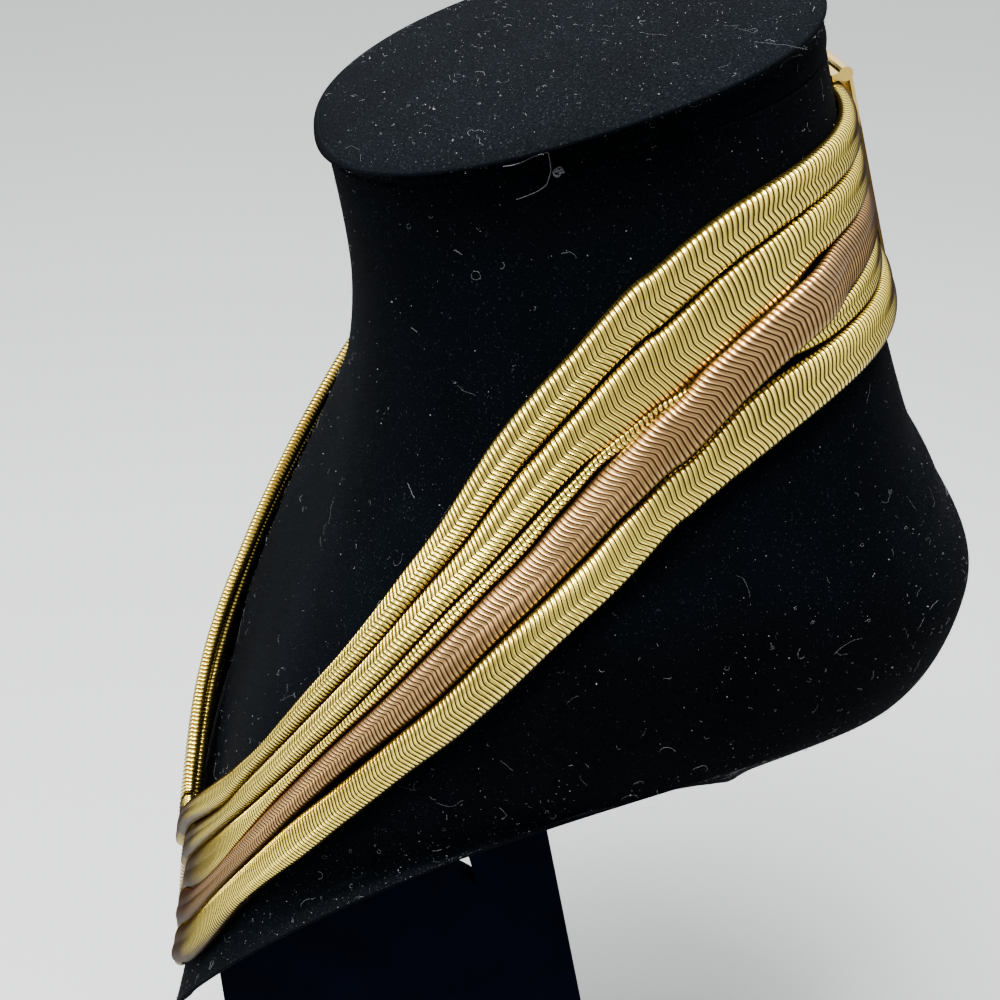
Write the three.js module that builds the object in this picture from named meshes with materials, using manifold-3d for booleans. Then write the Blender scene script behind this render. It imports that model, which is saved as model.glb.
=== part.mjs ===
// Collar choker necklace of five flat snake chains on a plain velvet neck bust.
// Millimetres, +Z up, the bust faces -Y, its left side is +X and the floor is Z = 0.

import * as THREE from 'three';
import { mergeVertices } from 'three/addons/utils/BufferGeometryUtils.js';
import Module from 'manifold-3d';

const wasm = await Module();
wasm.setup();

// Driving sizes
const NECK_BASE_HEIGHT = 190;
const FOOTPRINT_SHIFT = 4.68;
const CLEARANCE = 0.35;
const STRAND_THICKNESS = 2.4;
const SLIM_STRAND_THICKNESS = 1.9;
const BOARD_THICKNESS = 5;
const BASE_WIDTH = 64;
const BASE_THICKNESS = 6;
const CLASP_PLATE_WIDTH = 17;
const CLASP_PLATE_THICKNESS = 0.5;
const CLASP_ROLL_RADIUS = 1.15;
const STRAND_END_TURN = 174;

// Bust sections from the padded top to the lower rim. height and setback place
// the centre, lean is in degrees with the back higher, lift raises the sides
// and crest is how sharply it does so, from 2 for round to 1 for a point. front
// is how square the front half is: 2 is an ellipse and more is squarer.
const BUST_SECTIONS = [
  { height: 87.0, setback: 8.8, halfWidth: 45.4, halfDepth: 39.5,
    lean: 15.6, lift: 0.8, crest: 2, front: 2.36 },
  { height: 83.0, setback: 10.2, halfWidth: 42.4, halfDepth: 38.5,
    lean: 11.7, lift: 1.0, crest: 2, front: 2.36 },
  { height: 58.0, setback: 15.6, halfWidth: 46.9, halfDepth: 40.8,
    lean: 7.8, lift: 0.0, crest: 2, front: 2.38 },
  { height: 32.1, setback: 19.9, halfWidth: 56.6, halfDepth: 47.0,
    lean: 0.9, lift: -0.6, crest: 2, front: 2.5 },
  { height: 13.2, setback: 20.0, halfWidth: 62.1, halfDepth: 54.8,
    lean: 5.8, lift: 3.0, crest: 1.9, front: 3.36 },
  { height: -18.3, setback: 15.5, halfWidth: 61.6, halfDepth: 69.4,
    lean: 13.7, lift: 14.9, crest: 1.6, front: 3.34 },
  { height: -56.1, setback: 6.1, halfWidth: 60.6, halfDepth: 71.2,
    lean: 15.1, lift: 41.0, crest: 1.35, front: 2.7 },
  { height: -94.4, setback: -13.8, halfWidth: 62.5, halfDepth: 63.5,
    lean: 22.0, lift: 74.4,
    crest: 1.2, front: 2.36 },
];
const BACK_ROUNDNESS = 2.38;
const CREST_ROUNDING = 0.002;
// Share of the lift that the hem keeps under the nape
const NAPE_CREST = 0.038;

// Padded top, as shares of the first section
const TOP_CLOSURE = [
  { share: 0.0, rise: 4.2 },
  { share: 0.4, rise: 3.9 },
  { share: 0.7, rise: 3.0 },
  { share: 0.88, rise: 1.8 },
  { share: 0.96, rise: 0.8 },
];

// Lipped hollow underside, as shares of the rim from the lip to the middle
const UNDERSIDE = [
  { share: 0.985, rise: -0.3 },
  { share: 0.94, rise: 1.0 },
  { share: 0.925, rise: 6.0 },
  { share: 0.75, rise: 14.0 },
  { share: 0.4, rise: 22.0 },
  { share: 0.0, rise: 26.0 },
];

// Chain edges on the bust at each turn, counted in bust sections from the top.
// turn is 0 at the front and 180 at the nape. slimUpper and slimLower are the
// slim chain, which crosses under the rose one from its lower to its upper side.
const EDGE_STATIONS = [
  { turn: 0, top: 5.7, second: 6, secondLow: 6.12, rose: 6.27, roseLow: 6.5,
    bottomUp: 6.5, bottom: 6.76, slimUpper: 6.12, slimLower: 6.27 },
  { turn: 3, top: 5.6, second: 5.815, secondLow: 5.985, rose: 6.173, roseLow: 6.405,
    bottomUp: 6.405, bottom: 6.66, slimUpper: 5.985, slimLower: 6.173 },
  { turn: 7, top: 5.455, second: 5.655, secondLow: 5.875, rose: 6.105, roseLow: 6.35,
    bottomUp: 6.35, bottom: 6.61, slimUpper: 5.875, slimLower: 6.105 },
  { turn: 12, top: 5.257, second: 5.471, secondLow: 5.736, rose: 6.04, roseLow: 6.297,
    bottomUp: 6.297, bottom: 6.575, slimUpper: 5.736, slimLower: 6.04 },
  { turn: 18, top: 5.021, second: 5.263, secondLow: 5.51, rose: 5.97, roseLow: 6.252,
    bottomUp: 6.252, bottom: 6.551, slimUpper: 5.51, slimLower: 5.97 },
  { turn: 24, top: 4.807, second: 5.036, secondLow: 5.267, rose: 5.83, roseLow: 6.177,
    bottomUp: 6.177, bottom: 6.549, slimUpper: 5.267, slimLower: 5.83 },
  { turn: 29, top: 4.602, second: 4.796, secondLow: 5.067, rose: 5.589, roseLow: 6.037,
    bottomUp: 6.037, bottom: 6.558, slimUpper: 5.067, slimLower: 5.589 },
  { turn: 34, top: 4.263, second: 4.56, secondLow: 4.869, rose: 5.21, roseLow: 5.736,
    bottomUp: 5.736, bottom: 6.524, slimUpper: 4.869, slimLower: 5.21 },
  { turn: 38, top: 3.995, second: 4.341, secondLow: 4.699, rose: 4.936, roseLow: 5.435,
    bottomUp: 5.435, bottom: 6.408, slimUpper: 4.699, slimLower: 4.936 },
  { turn: 42, top: 3.673, second: 4.1, secondLow: 4.509, rose: 4.704, roseLow: 5.155,
    bottomUp: 5.157, bottom: 6.108, slimUpper: 4.509, slimLower: 4.704 },
  { turn: 46, top: 3.3, second: 3.825, secondLow: 4.302, rose: 4.486, roseLow: 4.911,
    bottomUp: 4.937, bottom: 5.712, slimUpper: 4.302, slimLower: 4.486 },
  { turn: 52, top: 2.838, second: 3.345, secondLow: 3.91, rose: 4.169, roseLow: 4.611,
    bottomUp: 4.667, bottom: 5.29, slimUpper: 3.91, slimLower: 4.169 },
  { turn: 58, top: 2.529, second: 2.904, secondLow: 3.445, rose: 3.77, roseLow: 4.359,
    bottomUp: 4.374, bottom: 4.92, slimUpper: 3.445, slimLower: 3.77 },
  { turn: 64, top: 2.312, second: 2.625, secondLow: 3.014, rose: 3.269, roseLow: 4.058,
    bottomUp: 4.058, bottom: 4.605, slimUpper: 3.014, slimLower: 3.269 },
  { turn: 70, top: 2.141, second: 2.436, secondLow: 2.742, rose: 2.892, roseLow: 3.575,
    bottomUp: 3.589, bottom: 4.33, slimUpper: 2.742, slimLower: 2.892 },
  { turn: 75, top: 2.011, second: 2.298, secondLow: 2.585, rose: 2.695, roseLow: 3.154,
    bottomUp: 3.168, bottom: 3.992, slimUpper: 2.585, slimLower: 2.695 },
  { turn: 80, top: 1.884, second: 2.169, secondLow: 2.449, rose: 2.538, roseLow: 2.88,
    bottomUp: 2.88, bottom: 3.529, slimUpper: 2.449, slimLower: 2.538 },
  { turn: 85, top: 1.763, second: 2.04, secondLow: 2.328, rose: 2.405, roseLow: 2.699,
    bottomUp: 2.7, bottom: 3.095, slimUpper: 2.335, slimLower: 2.45 },
  { turn: 90, top: 1.652, second: 1.916, secondLow: 2.217, rose: 2.269, roseLow: 2.548,
    bottomUp: 2.551, bottom: 2.831, slimUpper: 2.232, slimLower: 2.359 },
  { turn: 95, top: 1.564, second: 1.815, secondLow: 2.121, rose: 2.129, roseLow: 2.416,
    bottomUp: 2.421, bottom: 2.694, slimUpper: 2.175, slimLower: 2.265 },
  { turn: 100, top: 1.5, second: 1.741, secondLow: 2.04, rose: 2.04, roseLow: 2.315,
    bottomUp: 2.327, bottom: 2.61, slimUpper: 2.123, slimLower: 2.218 },
  { turn: 106, top: 1.447, second: 1.681, secondLow: 1.958, rose: 1.958, roseLow: 2.228,
    bottomUp: 2.261, bottom: 2.536, slimUpper: 2.101, slimLower: 2.187 },
  { turn: 112, top: 1.415, second: 1.64, secondLow: 1.896, rose: 1.896, roseLow: 2.167,
    bottomUp: 2.227, bottom: 2.483, slimUpper: 2.113, slimLower: 2.2 },
  { turn: 120, top: 1.39, second: 1.604, secondLow: 1.839, rose: 1.839, roseLow: 2.109,
    bottomUp: 2.204, bottom: 2.436, slimUpper: 2.094, slimLower: 2.202 },
  { turn: 130, top: 1.373, second: 1.582, secondLow: 1.801, rose: 1.802, roseLow: 2.061,
    bottomUp: 2.19, bottom: 2.406, slimUpper: 2.061, slimLower: 2.19 },
  { turn: 145, top: 1.367, second: 1.578, secondLow: 1.788, rose: 1.789, roseLow: 2.03,
    bottomUp: 2.19, bottom: 2.398, slimUpper: 2.03, slimLower: 2.19 },
  { turn: 174, top: 1.378, second: 1.594, secondLow: 1.804, rose: 1.804, roseLow: 2.027,
    bottomUp: 2.204, bottom: 2.415, slimUpper: 2.027, slimLower: 2.204 },
];

// Half of a chain's section: share of the half width and share of the thickness
const CHAIN_SECTION = [
  { across: 0.0, height: 0.84 },
  { across: 0.45, height: 1.0 },
  { across: 0.85, height: 0.86 },
  { across: 1.0, height: 0.46 },
  { across: 0.8, height: 0.08 },
];

// Colours
const VELVET = { color: 0x0d0f14, roughness: 0.95, metalness: 0.0 };
const NAVY_BOARD = { color: 0x10172b, roughness: 0.9, metalness: 0.0 };
const YELLOW_GOLD = { color: 0xd9bd76, roughness: 0.28, metalness: 1.0 };
const ROSE_GOLD = { color: 0xb58a72, roughness: 0.3, metalness: 1.0 };

const group = new THREE.Group();
group.name = 'collar_choker_necklace_on_bust';
// The sizes below are measured from the neck's axis, and this centres the footprint
group.position.y = -FOOTPRINT_SHIFT;

function addMesh(name, geometry, finish) {
  const mesh = new THREE.Mesh(geometry, new THREE.MeshStandardMaterial(finish));
  mesh.name = name;
  group.add(mesh);
  return mesh;
}

// Smooth curve through unevenly spaced rows of a table, even about its first row
// when mirrored is set
function readTable(rows, key, column, at, mirrored) {
  const list = mirrored ? [{ ...rows[1], [key]: -rows[1][key] }, ...rows] : rows;
  const x = mirrored ? Math.abs(at) : at;
  let i = 0;
  while (i < list.length - 2 && x > list[i + 1][key]) {
    i += 1;
  }
  const slope = (k) => (list[k + 1][column] - list[k][column]) / (list[k + 1][key] - list[k][key]);
  const gap = (k) => list[k + 1][key] - list[k][key];
  const tangent = (k) => {
    if (k === 0) {
      return slope(0);
    }
    if (k === list.length - 1) {
      return slope(k - 1);
    }
    return (slope(k - 1) * gap(k) + slope(k) * gap(k - 1)) / (gap(k - 1) + gap(k));
  };
  const h = gap(i);
  const t = (x - list[i][key]) / h;
  const a = 2 * t ** 3 - 3 * t ** 2 + 1;
  const b = t ** 3 - 2 * t ** 2 + t;
  const c = -2 * t ** 3 + 3 * t ** 2;
  const d = t ** 3 - t ** 2;
  return a * list[i][column] + b * h * tangent(i) + c * list[i + 1][column] + d * h * tangent(i + 1);
}

function bustSection(row) {
  const list = BUST_SECTIONS;
  const i = Math.min(Math.floor(row), list.length - 2);
  const t = row - i;
  const before = list[Math.max(i - 1, 0)];
  const from = list[i];
  const to = list[i + 1];
  const after = list[Math.min(i + 2, list.length - 1)];
  const section = {};
  for (const key of Object.keys(from)) {
    section[key] = 0.5 * (2 * from[key] + (to[key] - before[key]) * t
      + (2 * before[key] - 5 * from[key] + 4 * to[key] - after[key]) * t * t
      + (3 * from[key] - before[key] - 3 * to[key] + after[key]) * t ** 3);
  }
  return section;
}

// Point of the bust's skin at a row and a turn from the front, negative on its right
function skinPoint(row, turn) {
  const s = bustSection(row);
  const angle = THREE.MathUtils.degToRad(turn - 90);
  const power = 2 / (Math.sin(angle) < 0 ? s.front : BACK_ROUNDNESS);
  const across = Math.sign(Math.cos(angle)) * Math.abs(Math.cos(angle)) ** power;
  const along = Math.sign(Math.sin(angle)) * Math.abs(Math.sin(angle)) ** power;
  const lean = THREE.MathUtils.degToRad(s.lean);
  const crest = (across * across + CREST_ROUNDING) ** (s.crest / 2);
  const around = Math.abs(((turn + 540) % 360) - 180);
  const nape = NAPE_CREST * THREE.MathUtils.smoothstep(around, 135, 160);
  const lift = s.lift * (crest + nape);
  return new THREE.Vector3(
    s.halfWidth * across,
    s.setback + s.halfDepth * along * Math.cos(lean),
    NECK_BASE_HEIGHT + s.height + s.halfDepth * along * Math.sin(lean) + lift,
  );
}

function skinNormal(row, turn) {
  const step = 0.02;
  const low = Math.max(row - step, 0);
  const high = Math.min(row + step, BUST_SECTIONS.length - 1);
  const down = skinPoint(high, turn).sub(skinPoint(low, turn));
  const round = skinPoint(row, turn + 1).sub(skinPoint(row, turn - 1));
  return down.cross(round).normalize();
}

function offsetPoint(row, turn, distance) {
  return skinPoint(row, turn).addScaledVector(skinNormal(row, turn), distance);
}

// Closed solid from rings of equal length, with a middle point or a flat cut at each end
function ringSolid(rings, firstTip, lastTip) {
  const positions = [];
  const indices = [];
  const count = rings[0].length;
  for (const point of rings.flat()) {
    positions.push(point.x, point.y, point.z);
  }
  for (let i = 0; i < rings.length - 1; i += 1) {
    for (let j = 0; j < count; j += 1) {
      const k = (j + 1) % count;
      const a = i * count + j;
      const b = i * count + k;
      indices.push(a, a + count, b, b, a + count, b + count);
    }
  }
  const ends = [
    { tip: firstTip, base: 0, flip: false },
    { tip: lastTip, base: (rings.length - 1) * count, flip: true },
  ];
  for (const { tip, base, flip } of ends) {
    const middle = positions.length / 3;
    positions.push(tip.x, tip.y, tip.z);
    for (let j = 0; j < count; j += 1) {
      const a = base + j;
      const b = base + ((j + 1) % count);
      indices.push(middle, flip ? b : a, flip ? a : b);
    }
  }
  const geometry = new THREE.BufferGeometry();
  geometry.setAttribute('position', new THREE.Float32BufferAttribute(positions, 3));
  geometry.setIndex(indices);
  geometry.computeVertexNormals();
  return geometry;
}

function average(points) {
  const sum = new THREE.Vector3();
  for (const point of points) {
    sum.add(point);
  }
  return sum.divideScalar(points.length);
}

function toManifold(geometry) {
  const bare = geometry.clone();
  bare.deleteAttribute('normal');
  bare.deleteAttribute('uv');
  const merged = mergeVertices(bare, 1e-4);
  return new wasm.Manifold(new wasm.Mesh({
    numProp: 3,
    vertProperties: Float32Array.from(merged.attributes.position.array),
    triVerts: Uint32Array.from(merged.index.array),
  }));
}

function fromManifold(solid) {
  const mesh = solid.getMesh();
  const geometry = new THREE.BufferGeometry();
  geometry.setAttribute('position', new THREE.BufferAttribute(mesh.vertProperties, 3));
  geometry.setIndex(new THREE.BufferAttribute(mesh.triVerts, 1));
  geometry.computeVertexNormals();
  return geometry;
}

// Bust
const BUST_ROWS = 30;
const BUST_COLUMNS = 60;
const LAST_ROW = BUST_SECTIONS.length - 1;

function scaledRing(row, share, rise) {
  const s = BUST_SECTIONS[row];
  const centre = new THREE.Vector3(0, s.setback, NECK_BASE_HEIGHT + s.height);
  const ring = [];
  for (let j = 0; j < BUST_COLUMNS; j += 1) {
    const point = skinPoint(row, (360 * j) / BUST_COLUMNS);
    point.sub(centre).multiplyScalar(share).add(centre);
    point.z += rise;
    ring.push(point);
  }
  return ring;
}

const rim = BUST_SECTIONS[LAST_ROW];
const bustRings = [];
for (const { share, rise } of TOP_CLOSURE.slice(1)) {
  bustRings.push(scaledRing(0, share, rise));
}
for (let i = 0; i <= BUST_ROWS; i += 1) {
  const row = (LAST_ROW * i) / BUST_ROWS;
  const ring = [];
  for (let j = 0; j < BUST_COLUMNS; j += 1) {
    ring.push(skinPoint(row, (360 * j) / BUST_COLUMNS));
  }
  bustRings.push(ring);
}
for (const { share, rise } of UNDERSIDE.slice(0, -1)) {
  bustRings.push(scaledRing(LAST_ROW, share, rise));
}
const topTip = average(scaledRing(0, 0, TOP_CLOSURE[0].rise));
const underTip = average(scaledRing(LAST_ROW, 0, UNDERSIDE[UNDERSIDE.length - 1].rise));
addMesh('neck_bust', ringSolid(bustRings, topTip, underTip), VELVET);

// Chains
const CHAIN_STEPS = 100;

function chainRing(turn, upper, lower, thickness, lift) {
  const upperRow = readTable(EDGE_STATIONS, 'turn', upper, turn, true);
  const lowerRow = readTable(EDGE_STATIONS, 'turn', lower, turn, true);
  const upperPoint = skinPoint(upperRow, turn);
  const lowerPoint = skinPoint(lowerRow, turn);
  const across = lowerPoint.clone().sub(upperPoint);
  const middleRow = (upperRow + lowerRow) / 2;
  const step = 0.5;
  const edgeAt = (t) => {
    const a = readTable(EDGE_STATIONS, 'turn', upper, t, true);
    const b = readTable(EDGE_STATIONS, 'turn', lower, t, true);
    return skinPoint((a + b) / 2, t);
  };
  const along = edgeAt(turn + step).sub(edgeAt(turn - step)).normalize();
  const square = across.clone().addScaledVector(along, -across.dot(along)).length();
  const trim = Math.min(CLEARANCE / 2 / square, 0.2);
  const halfRows = (lowerRow - upperRow) * (0.5 - trim);
  const outline = [
    ...CHAIN_SECTION.map((p) => ({ across: -p.across, height: p.height })),
    ...CHAIN_SECTION.slice(1).reverse(),
  ];
  return outline.map((p) => offsetPoint(
    middleRow + p.across * halfRows,
    turn,
    CLEARANCE + lift(turn) + p.height * thickness,
  ));
}

// Turns shared by all the chains, evenly spaced along the edge of the rose chain
function sharedTurns(steps) {
  const samples = 1400;
  const travelled = [0];
  const turnAt = (i) => (STRAND_END_TURN * i) / samples;
  const edge = (i) => skinPoint(readTable(EDGE_STATIONS, 'turn', 'rose', turnAt(i), true), turnAt(i));
  for (let i = 1; i <= samples; i += 1) {
    travelled.push(travelled[i - 1] + edge(i).distanceTo(edge(i - 1)));
  }
  const turns = [];
  for (let k = 0; k <= steps; k += 1) {
    const wanted = (travelled[samples] * k) / steps;
    turns.push(turnAt(travelled.findIndex((d) => d >= wanted - 1e-6)));
  }
  return [...turns.slice(1).reverse().map((t) => -t), ...turns];
}

const TURNS = sharedTurns(CHAIN_STEPS / 2);

function addChain(name, upper, lower, fromTurn, toTurn, thickness, lift, finish) {
  const turns = [fromTurn, ...TURNS.filter((t) => t > fromTurn + 0.5 && t < toTurn - 0.5), toTurn];
  const rings = turns.map((turn) => chainRing(turn, upper, lower, thickness, lift));
  addMesh(name, ringSolid(rings, average(rings[0]), average(rings[rings.length - 1])), finish);
}

// The collar is stiff, so its chains stand a little off the chest round the front
// and bridge the small hollows of the shoulder's side
const bridge = (turn) => 0.25 * (THREE.MathUtils.smoothstep(Math.abs(turn), 20, 50)
  - THREE.MathUtils.smoothstep(Math.abs(turn), 110, 140));
const standOff = (height) => (turn) => bridge(turn)
  + height * (1 - THREE.MathUtils.smoothstep(Math.abs(turn), 8, 60));
const lowStandOff = (turn) => bridge(turn) + 0.3;
const atFront = (height) => (turn) => height
  * (1 - THREE.MathUtils.smoothstep(Math.abs(turn), 7, 24));
const topStandOff = (turn) => standOff(2.2)(turn) + atFront(1.8)(turn);
const secondStandOff = (turn) => standOff(1.0)(turn) + atFront(1.1)(turn);
const slimStandOff = (turn) => standOff(0.6)(turn) + atFront(0.8)(turn);
const slimLayer = SLIM_STRAND_THICKNESS + CLEARANCE;
const overSlim = (turn) => standOff(1.0)(turn) + slimLayer
  * THREE.MathUtils.smoothstep(Math.abs(turn), 74, 88)
  * (1 - THREE.MathUtils.smoothstep(Math.abs(turn), 118, 134));

// The left half of the top chain reaches just past the middle, where the right one meets it
addChain('chain_top_left', 'top', 'second', -0.3, STRAND_END_TURN,
  STRAND_THICKNESS, topStandOff, YELLOW_GOLD);
addChain('chain_top_right', 'top', 'second', -STRAND_END_TURN, -0.55,
  STRAND_THICKNESS, topStandOff, YELLOW_GOLD);
addChain('chain_second', 'second', 'secondLow', -STRAND_END_TURN, STRAND_END_TURN,
  STRAND_THICKNESS, secondStandOff, YELLOW_GOLD);
addChain('chain_slim', 'slimUpper', 'slimLower', -STRAND_END_TURN, STRAND_END_TURN,
  SLIM_STRAND_THICKNESS, slimStandOff, YELLOW_GOLD);
addChain('chain_rose', 'rose', 'roseLow', -STRAND_END_TURN, STRAND_END_TURN,
  STRAND_THICKNESS, overSlim, ROSE_GOLD);
addChain('chain_bottom', 'bottomUp', 'bottom', -STRAND_END_TURN, STRAND_END_TURN,
  STRAND_THICKNESS, lowStandOff, YELLOW_GOLD);

// Clasp at the nape: a spine between the chain ends, a plate over them and a rolled top
const claspTopRow = EDGE_STATIONS[EDGE_STATIONS.length - 1].top;
const claspBottomRow = EDGE_STATIONS[EDGE_STATIONS.length - 1].bottom;
const napeTop = skinPoint(claspTopRow, 180);
const napeBottom = skinPoint(claspBottomRow, 180);
const napeMiddle = napeTop.clone().add(napeBottom).divideScalar(2);
const napeSlope = Math.atan2(napeBottom.y - napeTop.y, napeTop.z - napeBottom.z);
const endHalfGap = skinPoint(claspTopRow, STRAND_END_TURN).x - CLEARANCE - 0.25;
const plateInner = 2 * CLEARANCE + 0.2 + STRAND_THICKNESS;
const plateOuter = plateInner + CLASP_PLATE_THICKNESS;
const claspFoot = CLEARANCE + 0.35;
const topWall = 1.1;
const claspHalf = napeTop.distanceTo(napeBottom) / 2;
const claspTop = claspHalf + CLEARANCE + topWall;

function claspBox(width, fromDepth, toDepth, fromHeight, toHeight) {
  const box = new THREE.BoxGeometry(width, toDepth - fromDepth, toHeight - fromHeight);
  box.translate(0, (fromDepth + toDepth) / 2, (fromHeight + toHeight) / 2);
  return toManifold(box);
}

const roll = new THREE.CylinderGeometry(CLASP_ROLL_RADIUS, CLASP_ROLL_RADIUS, CLASP_PLATE_WIDTH, 18);
roll.rotateZ(Math.PI / 2);
roll.translate(0, plateOuter - CLASP_ROLL_RADIUS + 0.25, claspTop - topWall / 2);
const clasp = claspBox(2 * endHalfGap, claspFoot, plateInner + 0.1, -claspHalf, claspTop)
  .add(claspBox(CLASP_PLATE_WIDTH, plateInner, plateOuter, 1.5 - claspHalf, claspTop))
  .add(claspBox(CLASP_PLATE_WIDTH, claspFoot, plateOuter, claspTop - topWall, claspTop))
  .add(toManifold(roll));
const claspMesh = addMesh('clasp', fromManifold(clasp), YELLOW_GOLD);
claspMesh.position.copy(napeMiddle);
claspMesh.rotation.x = napeSlope;

// Stand: an upright board under the bust, with a crescent notch, on a base plate
const BOARD_FRONT = -64;
const BOARD_BACK_TOP = 6.8;
const BOARD_BACK_SLOPE = 0.155;
const BOARD_GAP = 0.6;
const rimFront = skinPoint(LAST_ROW, 0);
const rimBack = skinPoint(LAST_ROW, 180);
const rimCentre = new THREE.Vector3(0, rim.setback, NECK_BASE_HEIGHT + rim.height);

function boardTop(y) {
  const end = y < rimCentre.y ? rimFront : rimBack;
  const share = (y - rimCentre.y) / (end.y - rimCentre.y);
  let i = UNDERSIDE.length - 2;
  while (i > 0 && share > UNDERSIDE[i].share) {
    i -= 1;
  }
  const outer = UNDERSIDE[i];
  const inner = UNDERSIDE[i + 1];
  const rise = inner.rise
    + ((share - inner.share) * (outer.rise - inner.rise)) / (outer.share - inner.share);
  return rimCentre.z + share * (end.z - rimCentre.z) + rise - BOARD_GAP;
}

// Crescent notch in the board's top edge, measured from the base of the neck
const NOTCH = {
  start: { y: -21, z: -84.5 },
  crown: { y: -12, z: -84.5 },
  point: { y: -6.8, z: -90.5 },
  side: { y: -7.2, z: -84 },
  end: { y: -9.5, z: -77 },
};
const boardFoot = BASE_THICKNESS + CLEARANCE;
const boardBackFoot = BOARD_BACK_TOP + BOARD_BACK_SLOPE * (boardTop(BOARD_BACK_TOP) - boardFoot);
const notch = (name) => [NOTCH[name].y, NECK_BASE_HEIGHT + NOTCH[name].z];
const boardShape = new THREE.Shape();
boardShape.moveTo(BOARD_FRONT, boardFoot);
boardShape.lineTo(boardBackFoot, boardFoot);
boardShape.lineTo(BOARD_BACK_TOP, boardTop(BOARD_BACK_TOP));
boardShape.lineTo(NOTCH.end.y, boardTop(NOTCH.end.y));
boardShape.lineTo(...notch('end'));
boardShape.quadraticCurveTo(...notch('side'), ...notch('point'));
boardShape.quadraticCurveTo(...notch('crown'), ...notch('start'));
boardShape.lineTo(BOARD_FRONT, boardTop(BOARD_FRONT));
boardShape.closePath();

const board = new THREE.ExtrudeGeometry(boardShape, {
  depth: BOARD_THICKNESS,
  bevelEnabled: false,
  curveSegments: 10,
});
board.translate(0, 0, -BOARD_THICKNESS / 2);
board.applyMatrix4(new THREE.Matrix4().makeBasis(
  new THREE.Vector3(0, 1, 0),
  new THREE.Vector3(0, 0, 1),
  new THREE.Vector3(1, 0, 0),
));
addMesh('stand_board', fromManifold(toManifold(board)), NAVY_BOARD);

const BASE_FRONT = -70;
const BASE_BACK = 68;
const BASE_CORNER = 8;
const baseShape = new THREE.Shape();
const halfBase = BASE_WIDTH / 2;
baseShape.moveTo(-halfBase + BASE_CORNER, BASE_FRONT);
baseShape.lineTo(halfBase - BASE_CORNER, BASE_FRONT);
baseShape.absarc(halfBase - BASE_CORNER, BASE_FRONT + BASE_CORNER, BASE_CORNER, -Math.PI / 2, 0, false);
baseShape.lineTo(halfBase, BASE_BACK - BASE_CORNER);
baseShape.absarc(halfBase - BASE_CORNER, BASE_BACK - BASE_CORNER, BASE_CORNER, 0, Math.PI / 2, false);
baseShape.lineTo(-halfBase + BASE_CORNER, BASE_BACK);
baseShape.absarc(-halfBase + BASE_CORNER, BASE_BACK - BASE_CORNER, BASE_CORNER, Math.PI / 2, Math.PI, false);
baseShape.lineTo(-halfBase, BASE_FRONT + BASE_CORNER);
baseShape.absarc(-halfBase + BASE_CORNER, BASE_FRONT + BASE_CORNER, BASE_CORNER,
  Math.PI, 1.5 * Math.PI, false);
const base = new THREE.ExtrudeGeometry(baseShape, {
  depth: BASE_THICKNESS,
  bevelEnabled: false,
  curveSegments: 8,
});
addMesh('stand_base', fromManifold(toManifold(base)), NAVY_BOARD);

export default group;
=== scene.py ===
"""Looks of the collar choker necklace on its velvet neck bust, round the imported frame."""

import logging
import math
from dataclasses import dataclass
from enum import Enum

import bpy
import numpy as np
from mathutils import Matrix, Vector


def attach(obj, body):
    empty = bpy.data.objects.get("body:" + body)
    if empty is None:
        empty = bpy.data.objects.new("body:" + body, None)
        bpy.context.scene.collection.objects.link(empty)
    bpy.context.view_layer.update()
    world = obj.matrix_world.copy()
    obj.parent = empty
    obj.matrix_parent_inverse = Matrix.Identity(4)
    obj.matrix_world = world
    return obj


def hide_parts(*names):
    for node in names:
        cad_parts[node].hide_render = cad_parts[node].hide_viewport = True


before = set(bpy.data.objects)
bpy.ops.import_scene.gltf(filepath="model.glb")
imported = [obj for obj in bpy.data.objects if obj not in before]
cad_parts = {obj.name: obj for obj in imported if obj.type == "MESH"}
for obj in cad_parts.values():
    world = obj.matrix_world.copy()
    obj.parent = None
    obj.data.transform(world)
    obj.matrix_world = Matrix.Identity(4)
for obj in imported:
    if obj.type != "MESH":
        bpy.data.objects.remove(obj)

Array = np.ndarray
Pair = tuple[float, float]
Colour = tuple[float, float, float]
Spot = tuple[float, float, float]
Material = bpy.types.Material
Node = bpy.types.Node
Piece = bpy.types.Object
Socket = bpy.types.NodeSocket
Feed = Socket | float | Colour

LOG = logging.getLogger("necklace")
MM = 0.001
TINY = 1e-9
NECK_BASE = np.array([0.0, -4.68, 190.0])
CLEARANCE = 0.35
THICKNESS = 2.4
SLIM_THICKNESS = 1.9
BODY = "root"


class ChainEdge(Enum):
    """Named edges of the chains, as columns of the route table."""

    TOP = 0
    SECOND = 1
    SECOND_LOW = 2
    ROSE = 3
    ROSE_LOW = 4
    BOTTOM_UP = 5
    BOTTOM = 6
    SLIM_UPPER = 7
    SLIM_LOWER = 8


class Lift(Enum):
    """How a chain leaves the bust's skin on its way round."""

    FLAT = "on the skin, but for its stand-off round the front"
    LOW = "a little over the skin all the way"
    OVER_SLIM = "over the slim chain at the side"


class Chevron(Enum):
    """Which way the points of the links look."""

    TO_FRONT = 1.0
    TO_NAPE = -1.0


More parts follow.
